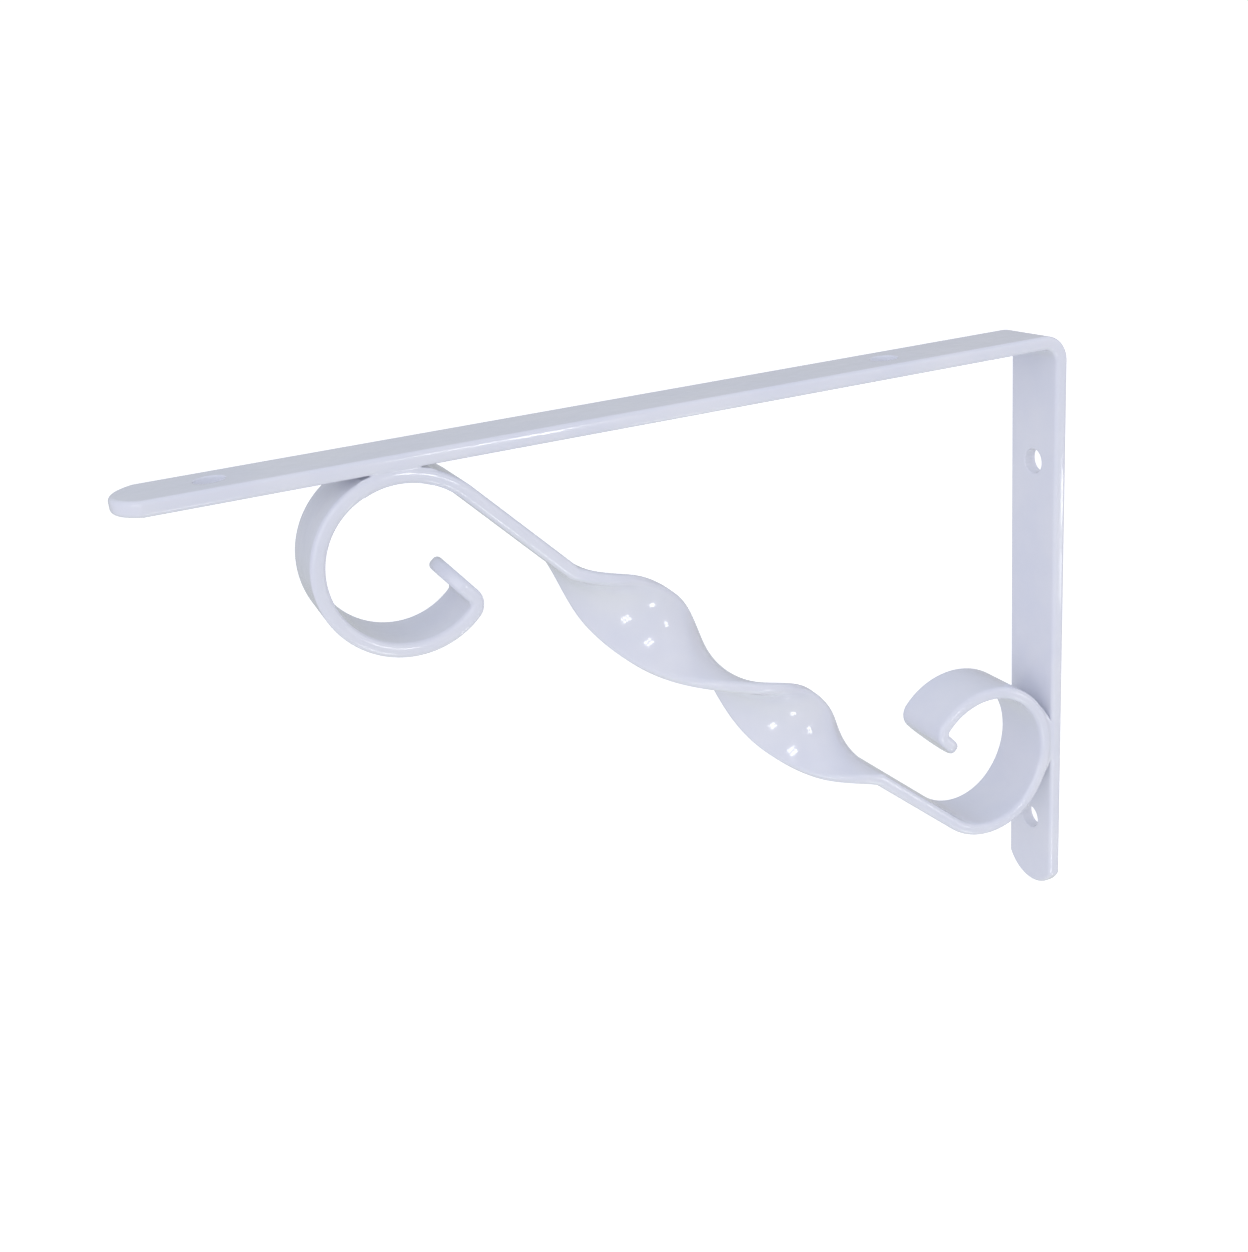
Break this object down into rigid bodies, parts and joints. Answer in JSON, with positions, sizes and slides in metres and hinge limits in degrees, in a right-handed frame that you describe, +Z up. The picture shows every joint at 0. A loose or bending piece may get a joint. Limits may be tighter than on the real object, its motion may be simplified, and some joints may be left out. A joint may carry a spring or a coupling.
{
  "type": "shelf bracket",
  "caption": "White flat-bar shelf bracket: a right-angled frame with rounded ends and screw holes, braced by a twisted bar with scrolled, hooked ends.",
  "frame": {"origin": "on the back face of the wall arm, on its centre line, midway between its two screw holes", "axes": "+X out of the back face, into the wall; +Z up, out of the shelf arm's top face; the shelf arm runs towards -X"},
  "size_m": [0.2024, 0.0176, 0.1404],
  "materials": {
    "frame_coating": "glossy white powder coat with a faint cool tint, over flat steel bar",
    "brace_coating": "glossy white powder coat with a faint cool tint, over twisted and scrolled flat steel bar"
  },
  "bodies": {
    "root": {"angle_frame": "frame_coating", "twisted_scroll_brace": "brace_coating"}
  },
  "joints": []
}
